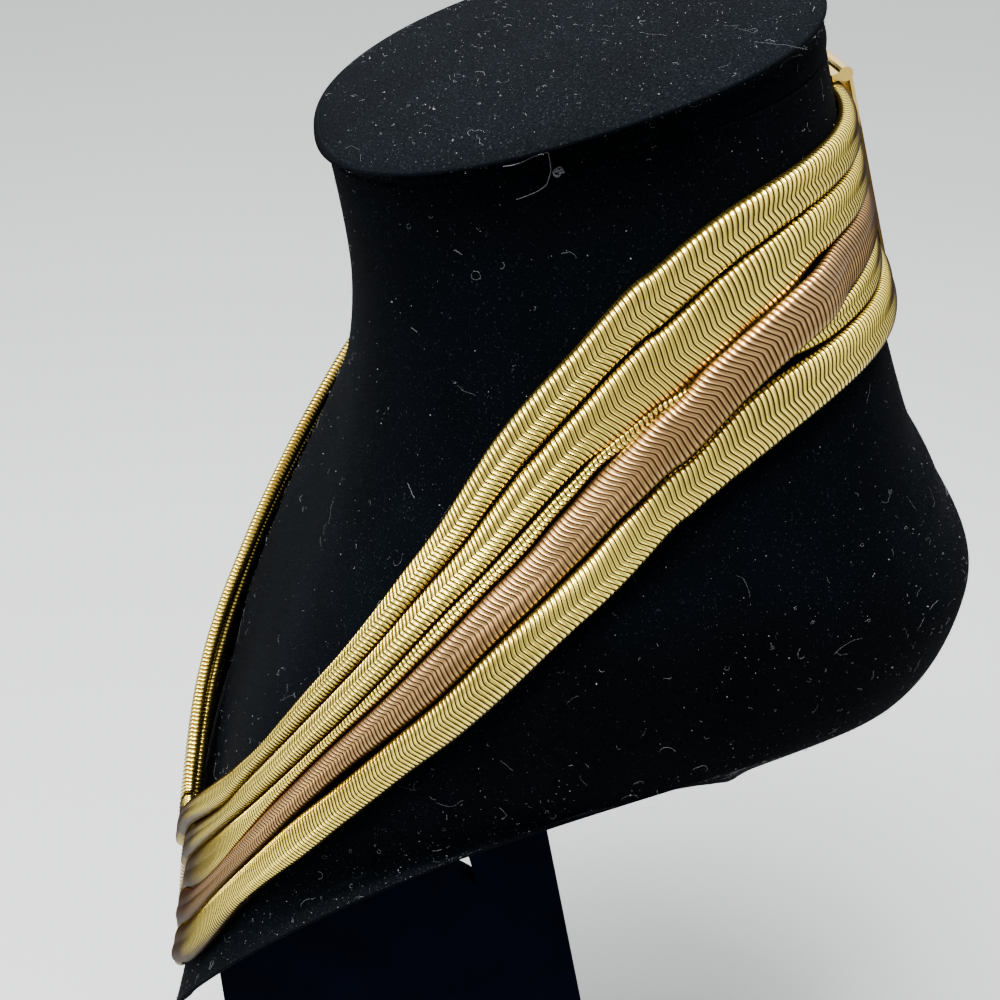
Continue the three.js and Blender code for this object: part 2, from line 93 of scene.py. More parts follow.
# height, setback, half width, half depth, lean in degrees, lift, crest, roundness of the front half
BUST_SECTIONS = np.array([
    [87.0, 8.8, 45.4, 39.5, 15.6, 0.8, 2.0, 2.36],
    [83.0, 10.2, 42.4, 38.5, 11.7, 1.0, 2.0, 2.36],
    [58.0, 15.6, 46.9, 40.8, 7.8, 0.0, 2.0, 2.38],
    [32.1, 19.9, 56.6, 47.0, 0.9, -0.6, 2.0, 2.5],
    [13.2, 20.0, 62.1, 54.8, 5.8, 3.0, 1.9, 3.36],
    [-18.3, 15.5, 61.6, 69.4, 13.7, 14.9, 1.6, 3.34],
    [-56.1, 6.1, 60.6, 71.2, 15.1, 41.0, 1.35, 2.7],
    [-94.4, -13.8, 62.5, 63.5, 22.0, 74.4, 1.2, 2.36],
])
BACK_ROUNDNESS = 2.38
# millimetres to a row, above and below the seam under the padded top
ROWS_ABOVE_SEAM = 4.6
ROWS_BELOW_SEAM = 25.6
CREST_ROUNDING = 0.002
NAPE_CREST = 0.038
# part of a row to each side over which the skin's slope is measured
ROW_STEP = 0.02

# share of the top section and rise in mm, from the middle of the padded top
TOP_CLOSURE = [(0.0, 4.2), (0.2, 4.15), (0.4, 3.9), (0.55, 3.5), (0.7, 3.0), (0.8, 2.4),
               (0.88, 1.8), (0.93, 1.2), (0.96, 0.8), (0.985, 0.35)]
# share of the rim and rise in mm, from the lip to the middle of the hollow
UNDERSIDE = [(0.995, -0.25), (0.985, -0.3), (0.96, 0.35), (0.945, 0.8), (0.935, 2.0), (0.925, 6.0),
             (0.85, 9.4), (0.75, 14.0), (0.6, 17.4), (0.4, 22.0), (0.2, 24.0), (0.0, 26.0)]

# turn, then one column for each ChainEdge, counted in bust sections from the top
ROUTES = np.array([
    [0, 5.7, 6, 6.12, 6.27, 6.5, 6.5, 6.76, 6.12, 6.27],
    [3, 5.6, 5.815, 5.985, 6.173, 6.405, 6.405, 6.66, 5.985, 6.173],
    [7, 5.455, 5.655, 5.875, 6.105, 6.35, 6.35, 6.61, 5.875, 6.105],
    [12, 5.257, 5.471, 5.736, 6.04, 6.297, 6.297, 6.575, 5.736, 6.04],
    [18, 5.021, 5.263, 5.51, 5.97, 6.252, 6.252, 6.551, 5.51, 5.97],
    [24, 4.807, 5.036, 5.267, 5.83, 6.177, 6.177, 6.549, 5.267, 5.83],
    [29, 4.602, 4.796, 5.067, 5.589, 6.037, 6.037, 6.558, 5.067, 5.589],
    [34, 4.263, 4.56, 4.869, 5.21, 5.736, 5.736, 6.524, 4.869, 5.21],
    [38, 3.995, 4.341, 4.699, 4.936, 5.435, 5.435, 6.408, 4.699, 4.936],
    [42, 3.673, 4.1, 4.509, 4.704, 5.155, 5.157, 6.108, 4.509, 4.704],
    [46, 3.3, 3.825, 4.302, 4.486, 4.911, 4.937, 5.712, 4.302, 4.486],
    [52, 2.838, 3.345, 3.91, 4.169, 4.611, 4.667, 5.29, 3.91, 4.169],
    [58, 2.529, 2.904, 3.445, 3.77, 4.359, 4.374, 4.92, 3.445, 3.77],
    [64, 2.312, 2.625, 3.014, 3.269, 4.058, 4.058, 4.605, 3.014, 3.269],
    [70, 2.141, 2.436, 2.742, 2.892, 3.575, 3.589, 4.33, 2.742, 2.892],
    [75, 2.011, 2.298, 2.585, 2.695, 3.154, 3.168, 3.992, 2.585, 2.695],
    [80, 1.884, 2.169, 2.449, 2.538, 2.88, 2.88, 3.529, 2.449, 2.538],
    [85, 1.763, 2.04, 2.328, 2.405, 2.699, 2.7, 3.095, 2.335, 2.45],
    [90, 1.652, 1.916, 2.217, 2.269, 2.548, 2.551, 2.831, 2.232, 2.359],
    [95, 1.564, 1.815, 2.121, 2.129, 2.416, 2.421, 2.694, 2.175, 2.265],
    [100, 1.5, 1.741, 2.04, 2.04, 2.315, 2.327, 2.61, 2.123, 2.218],
    [106, 1.447, 1.681, 1.958, 1.958, 2.228, 2.261, 2.536, 2.101, 2.187],
    [112, 1.415, 1.64, 1.896, 1.896, 2.167, 2.227, 2.483, 2.113, 2.2],
    [120, 1.39, 1.604, 1.839, 1.839, 2.109, 2.204, 2.436, 2.094, 2.202],
    [130, 1.373, 1.582, 1.801, 1.802, 2.061, 2.19, 2.406, 2.061, 2.19],
    [145, 1.367, 1.578, 1.788, 1.789, 2.03, 2.19, 2.398, 2.03, 2.19],
    [174, 1.378, 1.594, 1.804, 1.804, 2.027, 2.204, 2.415, 2.027, 2.204],
])
END_TURN = 174.0

# turns from the front over which something eases in, or in and out again
NAPE_CREST_TURNS = (135.0, 160.0)
STAND_OFF_TURNS = (8.0, 60.0)
FRONT_RISE_TURNS = (7.0, 24.0)
SIDE_LIFT_TURNS = ((20.0, 50.0), (110.0, 140.0))
OVER_SLIM_TURNS = ((74.0, 88.0), (118.0, 134.0))
TUCK_TURNS = ((76.0, 86.0), (112.0, 124.0))


def smoothstep(low: float, high: float, value: Array) -> Array:
    """Ease from 0 to 1 between two limits."""
    t = np.clip((value - low) / (high - low), 0.0, 1.0)
    return t * t * (3.0 - 2.0 * t)


def swell(turns: tuple[Pair, Pair], at: Array) -> Array:
    """Ease from 0 to 1 over the first pair of turns and back to 0 over the second."""
    rise, fall = turns
    return smoothstep(*rise, at) * (1.0 - smoothstep(*fall, at))


def unit(vectors: Array, spare: float = 0.0) -> Array:
    """Scale vectors to a length of one. What is spare is added to each length, where one may be zero."""
    return vectors / (np.linalg.norm(vectors, axis=-1, keepdims=True) + spare)


def read_route(edge: ChainEdge, turn: Array) -> Array:
    """Row of a chain's edge at each turn, even about the front.

    Args:
        edge: the edge to read.
        turn: degrees from the front, negative on the bust's right.

    Returns:
        The rows, counted in bust sections from the top.
    """
    x = np.r_[-ROUTES[1, 0], ROUTES[:, 0]]
    y = ROUTES[:, 1 + edge.value]
    y = np.r_[y[1], y]
    at = np.abs(turn)
    gap = np.diff(x)
    slope = np.diff(y) / gap
    inner = (slope[:-1] * gap[1:] + slope[1:] * gap[:-1]) / (gap[1:] + gap[:-1])
    tangent = np.r_[slope[0], inner, slope[-1]]
    i = np.clip(np.searchsorted(x, at, side="left") - 1, 0, len(x) - 2)
    h = gap[i]
    t = (at - x[i]) / h
    return ((2 * t**3 - 3 * t**2 + 1) * y[i] + (t**3 - 2 * t**2 + t) * h * tangent[i]
            + (3 * t**2 - 2 * t**3) * y[i + 1] + (t**3 - t**2) * h * tangent[i + 1])


def bust_sections(row: Array) -> Array:
    """Section values between the rows of the bust's table.

    Args:
        row: rows counted from the top.

    Returns:
        One line of section values for each row.
    """
    last = len(BUST_SECTIONS) - 1
    i = np.clip(np.floor(row).astype(int), 0, last - 1)
    t = (row - i)[..., None]
    before = BUST_SECTIONS[np.maximum(i - 1, 0)]
    start = BUST_SECTIONS[i]
    end = BUST_SECTIONS[i + 1]
    after = BUST_SECTIONS[np.minimum(i + 2, last)]
    return 0.5 * (2 * start + (end - before) * t + (2 * before - 5 * start + 4 * end - after) * t**2
                  + (3 * start - before - 3 * end + after) * t**3)


def skin(row: Array, turn: Array) -> Array:
    """Points of the bust's skin in millimetres.

    Args:
        row: rows counted from the top.
        turn: degrees from the front, negative on the bust's right.

    Returns:
        An array of points with x, y and z last.
    """
    row, turn = np.broadcast_arrays(np.asarray(row, float), np.asarray(turn, float))
    s = bust_sections(row)
    angle = np.radians(turn - 90.0)
    power = 2.0 / np.where(np.sin(angle) < 0.0, s[..., 7], BACK_ROUNDNESS)
    across = np.sign(np.cos(angle)) * np.abs(np.cos(angle)) ** power
    along = np.sign(np.sin(angle)) * np.abs(np.sin(angle)) ** power
    lean = np.radians(s[..., 4])
    around = np.abs((turn + 180.0) % 360.0 - 180.0)
    crest = (across**2 + CREST_ROUNDING) ** (s[..., 6] / 2.0)
    lift = s[..., 5] * (crest + NAPE_CREST * smoothstep(*NAPE_CREST_TURNS, around))
    point = np.stack([s[..., 2] * across,
                      s[..., 1] + s[..., 3] * along * np.cos(lean),
                      s[..., 0] + s[..., 3] * along * np.sin(lean) + lift], axis=-1)
    return point + NECK_BASE


def skin_normal(row: Array, turn: Array) -> Array:
    """Outward unit normals of the bust's skin.

    Args:
        row: rows counted from the top.
        turn: degrees from the front.

    Returns:
        An array of unit vectors.
    """
    low = np.maximum(row - ROW_STEP, 0.0)
    high = np.minimum(row + ROW_STEP, len(BUST_SECTIONS) - 1.0)
    down = skin(high, turn) - skin(low, turn)
    around = skin(row, turn + 1.0) - skin(row, turn - 1.0)
    return unit(np.cross(down, around))


def section_middle(row: int) -> Array:
    """Middle of one section of the bust, in millimetres."""
    return np.array([0.0, BUST_SECTIONS[row, 1], BUST_SECTIONS[row, 0]]) + NECK_BASE


def mesh_object(name: str, points: Array, faces: Array, smooth: bool = True) -> Piece:
    """Make a mesh object from points in millimetres and faces of equal size.

    Args:
        name: the object's name.
        points: an array of points.
        faces: an array of vertex indices, one line for each face.
        smooth: whether its faces are shaded smooth.

    Returns:
        The new object, linked to the scene.
    """
    mesh = bpy.data.meshes.new(name)
    count, corners = faces.shape
    mesh.vertices.add(len(points))
    mesh.vertices.foreach_set("co", (points * MM).astype(np.float32).ravel())
    mesh.loops.add(count * corners)
    mesh.loops.foreach_set("vertex_index", faces.astype(np.int32).ravel())
    mesh.polygons.add(count)
    mesh.polygons.foreach_set("loop_start", np.arange(0, count * corners, corners, dtype=np.int32))
    mesh.polygons.foreach_set("use_smooth", np.full(count, smooth))
    mesh.update(calc_edges=True)
    mesh.validate()
    piece = bpy.data.objects.new(name, mesh)
    bpy.context.scene.collection.objects.link(piece)
    return piece


def point_values(piece: Piece, name: str, values: Array) -> None:
    """Store one value for each vertex for its material to read."""
    layer = piece.data.attributes.new(name, "FLOAT", "POINT")
    layer.data.foreach_set("value", values.astype(np.float32).ravel())


def ring_faces(rings: int, around: int) -> Array:
    """Faces between rings that each close on themselves.

    Args:
        rings: the number of rings.
        around: the number of points in each ring.

    Returns:
        Four vertex indices for each face.
    """
    i = np.arange(rings - 1)[:, None] * around
    j = np.arange(around)[None, :]
    k = (j + 1) % around
    return np.stack([i + j, i + around + j, i + around + k, i + k], axis=-1).reshape(-1, 4)


def tube_mesh(paths: Array, radii: Array, sides: int) -> tuple[Array, Array]:
    """Thin tubes along many paths of equal length, as one mesh.

    Args:
        paths: points by path and step.
        radii: radius by path and step.
        sides: the number of sides of each tube.

    Returns:
        The points and the faces.
    """
    count, steps, _ = paths.shape
    along = unit(np.gradient(paths, axis=1), TINY)
    helper = np.where(np.abs(along[..., 2:3]) > 0.9, np.array([1.0, 0, 0]), np.array([0, 0, 1.0]))
    u = unit(np.cross(along, helper), TINY)
    v = np.cross(along, u)
    angle = np.arange(sides) * 2 * math.pi / sides
    ring = u[:, :, None] * np.cos(angle)[:, None] + v[:, :, None] * np.sin(angle)[:, None]
    points = paths[:, :, None] + ring * radii[:, :, None, None]
    first = (np.arange(count) * steps * sides)[:, None, None]
    faces = (ring_faces(steps, sides)[None] + first).reshape(-1, 4)
    return points.reshape(-1, 3), faces


# sockets of the Mix node that carry colours
MIX_SHARE, MIX_FIRST, MIX_SECOND, MIX_RESULT = 0, 6, 7, 2


class NodeSheet:
    """A small helper that places and joins the nodes of one tree."""

    def __init__(self, tree: bpy.types.NodeTree) -> None:
        """Keep the tree that nodes go into."""
        self.tree = tree

    def add(self, kind: str, **values: object) -> Node:
        """Add a node and set its properties.

        Args:
            kind: the node's type name.
            values: properties by name.

        Returns:
            The new node.
        """
        node = self.tree.nodes.new(kind)
        for key, value in values.items():
            setattr(node, key, value)
        return node

    def join(self, source: Feed, target: Socket) -> None:
        """Link a socket to an input, or set the input to a number or a colour.

        Args:
            source: a socket, a number or a colour.
            target: the input.
        """
        if isinstance(source, Socket):
            self.tree.links.new(source, target)
        else:
            target.default_value = (*source, 1.0) if isinstance(source, tuple) else source

    def join_all(self, node: Node, **sources: Feed) -> None:
        """Join a source to each named input, with a low line for each space in a name.

        Args:
            node: the node whose inputs are joined.
            sources: sockets, numbers or colours by the input's name.
        """
        for key, source in sources.items():
            self.join(source, node.inputs[key.replace("_", " ")])

    def math(self, operation: str, a: Feed, b: Feed, clamp: bool = False) -> Socket:
        """Add a Math node.

        Args:
            operation: the node's operation.
            a: a socket or a number.
            b: a socket or a number.
            clamp: whether the result stays between 0 and 1.

        Returns:
            The node's output.
        """
        node = self.add("ShaderNodeMath", operation=operation, use_clamp=clamp)
        self.join(a, node.inputs[0])
        self.join(b, node.inputs[1])
        return node.outputs[0]

    def mix(self, blend: str, share: Feed, first: Feed, second: Feed) -> Socket:
        """Add a mix of two colours.

        Args:
            blend: the blend type.
            share: how much of the second colour is used.
            first: the first colour.
            second: the second colour.

        Returns:
            The mixed colour.
        """
        node = self.add("ShaderNodeMix", data_type="RGBA", blend_type=blend)
        self.join(share, node.inputs[MIX_SHARE])
        self.join(first, node.inputs[MIX_FIRST])
        self.join(second, node.inputs[MIX_SECOND])
        return node.outputs[MIX_RESULT]

    def noise(self, place: Socket, scale: Feed, detail: float, roughness: float = 0.5) -> Socket:
        """Add a noise.

        Args:
            place: the coordinates that it reads.
            scale: the noise's scale.
            detail: the number of its octaves.
            roughness: how strong the finer octaves are.

        Returns:
            The noise's value.
        """
        node = self.add("ShaderNodeTexNoise")
        self.join_all(node, Vector=place, Scale=scale, Detail=detail, Roughness=roughness)
        return node.outputs["Fac"]

    def bump(self, height: Socket, strength: float, distance: float, shader: Node) -> None:
        """Bump a shader's surface.

        Args:
            height: the height that it reads.
            strength: how strong the bump is.
            distance: the height of a full step in metres.
            shader: the shader that is bumped.
        """
        node = self.add("ShaderNodeBump")
        self.join_all(node, Height=height, Strength=strength, Distance=distance)
        self.join(node.outputs["Normal"], shader.inputs["Normal"])

    def upright(self, vector: Socket) -> Socket:
        """Read the Z value of a vector."""
        node = self.add("ShaderNodeSeparateXYZ")
        self.join(vector, node.inputs[0])
        return node.outputs["Z"]

    def ramp(self, source: Socket, stops: list[tuple[float, Colour]]) -> Socket:
        """Add a colour ramp.

        Args:
            source: the value that it reads.
            stops: place and colour of each stop.

        Returns:
            The ramp's colour.
        """
        node = self.add("ShaderNodeValToRGB")
        elements = node.color_ramp.elements
        while len(elements) < len(stops):
            elements.new(0.5)
        for element, (place, colour) in zip(elements, stops):
            element.position = place
            element.color = (*colour, 1.0)
        self.join(source, node.inputs[0])
        return node.outputs[0]


def effect_group(name: str, inputs: dict[str, float],
                 outputs: list[str]) -> tuple[bpy.types.NodeTree, NodeSheet, Node, Node]:
    """Start a shader group with named number inputs and outputs.

    Args:
        name: the group's name.
        inputs: default value by input name.
        outputs: output names.

    Returns:
        The group, a helper for it, its input node and its output node.
    """
    group = bpy.data.node_groups.new(name, "ShaderNodeTree")
    for key, value in inputs.items():
        socket = group.interface.new_socket(name=key, in_out="INPUT", socket_type="NodeSocketFloat")
        socket.default_value = value
    for key in outputs:
        group.interface.new_socket(name=key, in_out="OUTPUT", socket_type="NodeSocketFloat")
    sheet = NodeSheet(group)
    return group, sheet, sheet.add("NodeGroupInput"), sheet.add("NodeGroupOutput")


# ramp stops: cloudy nap, painted top light on up-facing velvet mottled with dust grains, worn metal
NAP_TONES = [(0.3, (0.7, 0.7, 0.7)), (0.7, (1.25, 1.25, 1.3))]
TOP_LIGHT_MOTTLE = [(0.4, (0.2, 0.2, 0.2)), (0.66, (1.0, 1.0, 1.0))]
WORN_TONES = [(0.3, (0.88, 0.85, 0.8)), (0.7, (1.05, 1.04, 1.0))]
SPECK_CONTRAST = 9.0


class Effects:
    """Shader groups that more than one finish places."""

    def __init__(self) -> None:
        """Build each group once."""
        self.flock = self._flock()
        self.tarnish = self._tarnish()

    @staticmethod
    def _flock() -> bpy.types.NodeTree:
        """Short flock: pale specks of fibre ends, soft patches and a fine height.

        Returns:
            The group.
        """
        group, sheet, given, made = effect_group(
            "flock_nap", {"Fibre Scale": 2600.0, "Patch Scale": 60.0, "Speck Level": 0.6},
            ["Speck", "Patch", "Height"])
        place = sheet.add("ShaderNodeTexCoord").outputs["Object"]
        fibre = sheet.noise(place, given.outputs["Fibre Scale"], 3.0, 0.65)
        patch = sheet.noise(place, given.outputs["Patch Scale"], 4.0)
        over = sheet.math("SUBTRACT", fibre, given.outputs["Speck Level"])
        speck = sheet.math("MULTIPLY", over, SPECK_CONTRAST, clamp=True)
        sheet.join_all(made, Speck=speck, Patch=patch, Height=fibre)
        return group

    @staticmethod
    def _tarnish() -> bpy.types.NodeTree:
        """Uneven tone of worn metal: slow patches and a fine grain.

        Returns:
            The group.
        """
        group, sheet, given, made = effect_group(
            "metal_tone", {"Patch Scale": 40.0, "Grain Scale": 1500.0}, ["Tone", "Grain"])
        place = sheet.add("ShaderNodeTexCoord").outputs["Object"]
        for key, out, detail in (("Patch Scale", "Tone", 3.0), ("Grain Scale", "Grain", 2.0)):
            sheet.join(sheet.noise(place, given.outputs[key], detail), made.inputs[out])
        return group


def new_finish(name: str) -> tuple[Material, NodeSheet, Node]:
    """Start a node material.

    Args:
        name: the material's name.

    Returns:
        The material, a helper for its tree and its Principled shader.
    """
    material = bpy.data.materials.new(name)
    material.use_nodes = True
    sheet = NodeSheet(material.node_tree)
    return material, sheet, material.node_tree.nodes["Principled BSDF"]


def two_tones(colour: Colour, dark: float, light: float) -> list[tuple[float, Colour]]:
    """Ramp stops from a darker to a lighter tone of a colour, given as shares of it."""
    return [(0.3, tuple(c * dark for c in colour)), (0.7, tuple(min(c * light, 1.0) for c in colour))]


@dataclass(frozen=True)
class Velvet:
    """Flocked cloth: near black, with pale fibre ends, paler level parts painted as top light mottled with
    dust grains, and a soft sheen.
    """

    name: str
    dark: Colour
    speck: Colour
    # pale colour laid on up-facing parts: painted top light, mottled with dust grains
    dust: Colour
    speck_level: float
    sheen: float
    sheen_roughness: float = 0.4
    sheen_tint: Colour = (0.55, 0.6, 0.72)
    roughness: float = 0.95
    specular: float = 0.01
    # upward share of the normal over which the painted top light fades in
    top_light_from: float = 0.5
    top_light_to: float = 0.97
    bump: Pair = (0.6, 0.0003)

    def make(self, effects: Effects) -> Material:
        """Build the material.

        Args:
            effects: the shared shader groups.

        Returns:
            The material.
        """
        material, sheet, shader = new_finish(self.name)
        nap = sheet.add("ShaderNodeGroup", node_tree=effects.flock)
        sheet.join(self.speck_level, nap.inputs["Speck Level"])
        flock = sheet.mix("MIX", nap.outputs["Speck"], self.dark, self.speck)
        flock = sheet.mix("MULTIPLY", 1.0, flock, sheet.ramp(nap.outputs["Patch"], NAP_TONES))
        # painted top light: up-facing parts get the pale colour, mottled with dust grains, to stand for the
        # light from above
        facing = sheet.upright(sheet.add("ShaderNodeNewGeometry").outputs["Normal"])
        level = sheet.add("ShaderNodeMapRange", interpolation_type="SMOOTHSTEP")
        sheet.join_all(level, Value=facing, From_Min=self.top_light_from, From_Max=self.top_light_to)
        grains = sheet.ramp(nap.outputs["Height"], TOP_LIGHT_MOTTLE)
        painted_top_light = sheet.math("MULTIPLY", level.outputs["Result"], grains)
        sheet.join_all(shader, Base_Color=sheet.mix("ADD", painted_top_light, flock, self.dust),
                       Roughness=self.roughness, Specular_IOR_Level=self.specular, Sheen_Weight=self.sheen,
                       Sheen_Roughness=self.sheen_roughness, Sheen_Tint=self.sheen_tint)
        sheet.bump(nap.outputs["Height"], *self.bump, shader)
        return material


@dataclass(frozen=True)
class ChainMetal:
    """Polished link metal with painted shade in the grooves between its links."""

    name: str
    crest: Colour
    # dark colour in the grooves between links: painted shade
    groove: Colour
    crest_roughness: float
    groove_roughness: float
    grain: float = 0.08
    flank_mix: Pair = (0.45, 0.55)
    depths: tuple[float, ...] = (0.0, 0.12, 0.3, 0.5)

    def make(self, effects: Effects) -> Material:
        """Build the material.

        Args:
            effects: the shared shader groups.

        Returns:
            The material.
        """
        material, sheet, shader = new_finish(self.name)
        depth = sheet.add("ShaderNodeAttribute", attribute_name="groove").outputs["Fac"]
        tone = sheet.add("ShaderNodeGroup", node_tree=effects.tarnish)
        of_crest, of_groove = self.flank_mix
        flank = tuple(of_crest * a + of_groove * b for a, b in zip(self.crest, self.groove))
        # painted shade: the colour turns from the crest colour to the dark groove colour with the groove
        # depth, standing in for the shade between the links
        colour = sheet.ramp(depth, list(zip(self.depths, (self.crest, self.crest, flank, self.groove))))
        worn = sheet.ramp(tone.outputs["Tone"], WORN_TONES)
        spread = sheet.math("MULTIPLY", depth, self.groove_roughness - self.crest_roughness)
        spread = sheet.math("ADD", spread, self.crest_roughness - self.grain / 2.0)
        grain = sheet.math("MULTIPLY", tone.outputs["Grain"], self.grain)
        sheet.join_all(shader, Base_Color=sheet.mix("MULTIPLY", 1.0, colour, worn),
                       Roughness=sheet.math("ADD", spread, grain), Metallic=1.0)
        return material


@dataclass(frozen=True)
class PlateMetal:
    """Smooth polished plate with faint rubbing marks, and painted shade below a set height."""

    name: str
    colour: Colour
    shaded: Colour
    roughness: float
    shade_from: float = 0.268
    shade_to: float = 0.2655
    tones: Pair = (0.88, 1.06)
    grain: float = 0.12
    bump: Pair = (0.15, 0.0001)

    def make(self, effects: Effects) -> Material:
        """Build the material.

        Args:
            effects: the shared shader groups.

        Returns:
            The material.
        """
        material, sheet, shader = new_finish(self.name)
        tone = sheet.add("ShaderNodeGroup", node_tree=effects.tarnish)
        height = sheet.upright(sheet.add("ShaderNodeTexCoord").outputs["Object"])
        # painted shade: below shade_from the plate turns to the dark shaded colour, standing in for the
        # shade and dark reflection on its lower part
        under = sheet.math("SUBTRACT", self.shade_from, height)
        under = sheet.math("DIVIDE", under, self.shade_from - self.shade_to, clamp=True)
        plate = sheet.ramp(tone.outputs["Tone"], two_tones(self.colour, *self.tones))
        grain = sheet.math("MULTIPLY", tone.outputs["Grain"], self.grain)
        sheet.join_all(shader, Base_Color=sheet.mix("MIX", under, plate, self.shaded),
                       Roughness=sheet.math("ADD", grain, self.roughness - self.grain / 2.0), Metallic=1.0)
        sheet.bump(tone.outputs["Grain"], *self.bump, shader)
        return material


@dataclass(frozen=True)
class PlainPaint:
    """Matt surface of the floor, the lint and the thread."""

    name: str
    colour: Colour
    roughness: float
    scale: float = 8.0
    tones: Pair = (0.97, 1.03)

    def make(self) -> Material:
        """Build the material.

        Returns:
            The material.
        """
        material, sheet, shader = new_finish(self.name)
        noise = sheet.add("ShaderNodeTexNoise")
        sheet.join(self.scale, noise.inputs["Scale"])
        paint = sheet.ramp(noise.outputs["Fac"], two_tones(self.colour, *self.tones))
        sheet.join_all(shader, Base_Color=paint, Roughness=self.roughness)
        return material


class Finishes:
    """Every material of the scene, made once."""

    def __init__(self, effects: Effects) -> None:
        """Make the materials from their finishes.

        Args:
            effects: the shared shader groups.
        """
        # the third colour of each velvet is painted top light on its up-facing parts, mottled with dust
        # grains
        self.velvet = Velvet("black_velvet", (0.0003, 0.0006, 0.001), (0.009, 0.0105, 0.013),
                             (0.0021, 0.0023, 0.0026), 0.62, 0.002).make(effects)
        self.board = Velvet("navy_board", (0.0005, 0.0011, 0.004), (0.002, 0.003, 0.007),
                            (0.002, 0.003, 0.005), 0.6, 0.004).make(effects)
        # the second colour of each chain metal is painted shade in the grooves between links
        self.yellow = ChainMetal("yellow_gold", (0.98, 0.79, 0.14), (0.03, 0.014, 0.002),
                                 0.2, 0.5).make(effects)
        self.rose = ChainMetal("rose_gold", (0.4, 0.245, 0.1), (0.03, 0.012, 0.004), 0.3, 0.5).make(effects)
        # the clasp's second colour is painted shade on its lower part
        self.plate = PlateMetal("polished_gold", (0.86, 0.6, 0.14), (0.08, 0.048, 0.012), 0.2).make(effects)
        self.lint = PlainPaint("pale_lint", (0.075, 0.079, 0.083), 0.9).make()
        self.thread = PlainPaint("grey_thread", (0.045, 0.047, 0.05), 0.9).make()
        self.floor = PlainPaint("pale_floor", (0.32, 0.326, 0.326), 0.8).make()


@dataclass
class NeckBust:
    """The velvet form: padded top, neck, shoulders and lipped hollow."""

    rows: int = 170
    around: int = 240
    seam_row: float = 1.0
    seam_reach: float = 2.0
    seam_rings: int = 25
    seam_offset: float = 0.5
    bead_height: float = 0.3
    bead_width: float = 0.5
    groove_depth: float = 0.5
    groove_width: float = 0.45
    piece: Piece | None = None

    def build(self) -> None:
        """Loft the skin through its sections and close it above and below."""
        turns = np.arange(self.around) * 360.0 / self.around
        last = len(BUST_SECTIONS) - 1
        rings = [self._scaled(0, turns, share, rise) for share, rise in TOP_CLOSURE[1:]]
        near = np.linspace(-self.seam_reach, self.seam_reach, self.seam_rings)
        rows = self.seam_row + np.where(near < 0.0, near / ROWS_ABOVE_SEAM, near / ROWS_BELOW_SEAM)
        for row in np.unique(np.r_[np.linspace(0, last, self.rows), rows]):
            below = (row - self.seam_row) * (ROWS_ABOVE_SEAM if row < self.seam_row else ROWS_BELOW_SEAM)
            bead = self.bead_height * math.exp(-((below + self.seam_offset) / self.bead_width) ** 2)
            groove = self.groove_depth * math.exp(-((below - self.seam_offset) / self.groove_width) ** 2)
            rings.append(skin(row, turns) + skin_normal(np.full(self.around, row), turns) * (bead - groove))
        rings += [self._scaled(last, turns, share, rise) for share, rise in UNDERSIDE[:-1]]
        tips = [self._scaled(0, turns, *TOP_CLOSURE[0]).mean(0),
                self._scaled(last, turns, *UNDERSIDE[-1]).mean(0)]
        faces = self._close(ring_faces(len(rings), self.around), len(rings))
        self.piece = mesh_object("velvet_bust", np.concatenate([*rings, tips]), faces)

    def _close(self, quads: Array, rings: int) -> Array:
        """Add the fans at both ends as thin four-cornered faces.

        Args:
            quads: the faces between the rings.
            rings: the number of rings.

        Returns:
            All the faces.
        """
        top = rings * self.around
        j = np.arange(0, self.around, 2)
        k = (j + 2) % self.around
        base = (rings - 1) * self.around
        first = np.stack([np.full_like(j, top), j, j + 1, k], axis=-1)
        final = np.stack([np.full_like(j, top + 1), base + k, base + j + 1, base + j], axis=-1)
        return np.concatenate([quads, first, final])

    @staticmethod
    def _scaled(row: int, turns: Array, share: float, rise: float) -> Array:
        """A section's ring shrunk towards its middle and raised.

        Args:
            row: the section's row.
            turns: degrees from the front.
            share: how much of its size is kept.
            rise: millimetres up.

        Returns:
            The ring's points.
        """
        middle = section_middle(row)
        ring = (skin(float(row), turns) - middle) * share + middle
        ring[:, 2] += rise
        return ring

    def dress(self, finishes: Finishes) -> None:
        """Give it its velvet and set it on the frame.

        Args:
            finishes: the scene's materials.
        """
        self.piece.data.materials.append(finishes.velvet)
        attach(self.piece, BODY)
        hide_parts("neck_bust")


# share of the half width and of the thickness, from the shallow crease round to the back
CHAIN_PROFILE = np.array([
    [0.0, 0.95], [0.1, 0.965], [0.22, 0.985], [0.36, 1.0], [0.5, 0.99], [0.65, 0.95], [0.79, 0.87],
    [0.9, 0.75], [0.98, 0.56], [1.0, 0.3], [0.93, 0.07], [0.0, 0.05],
])
# places along a chain at which its length is measured, and those to each side that even its direction
ROUTE_SAMPLES = 2600
DIRECTION_BLUR = 30
# the chevron's line: rounding of its point, reach of the point and power of its flanks
POINT_ROUNDING = 0.008
POINT_REACH = 0.09
FLANK_POWER = 3.5
# degrees about the front within which the chevrons turn over
TURN_OVER = 3.0
# half width in mm that the profile's slopes are scaled with, and the least one that a groove is cut for
SLOPE_HALF_WIDTH = 4.0
LEAST_HALF_WIDTH = 0.8
# largest share of a chain's width that the clearance takes at each edge
MOST_TRIM = 0.2
# least way along the chain between two samples, so that each place is reached once
LEAST_WAY = 1e-5
LEAST_SLOPE = 1e-6


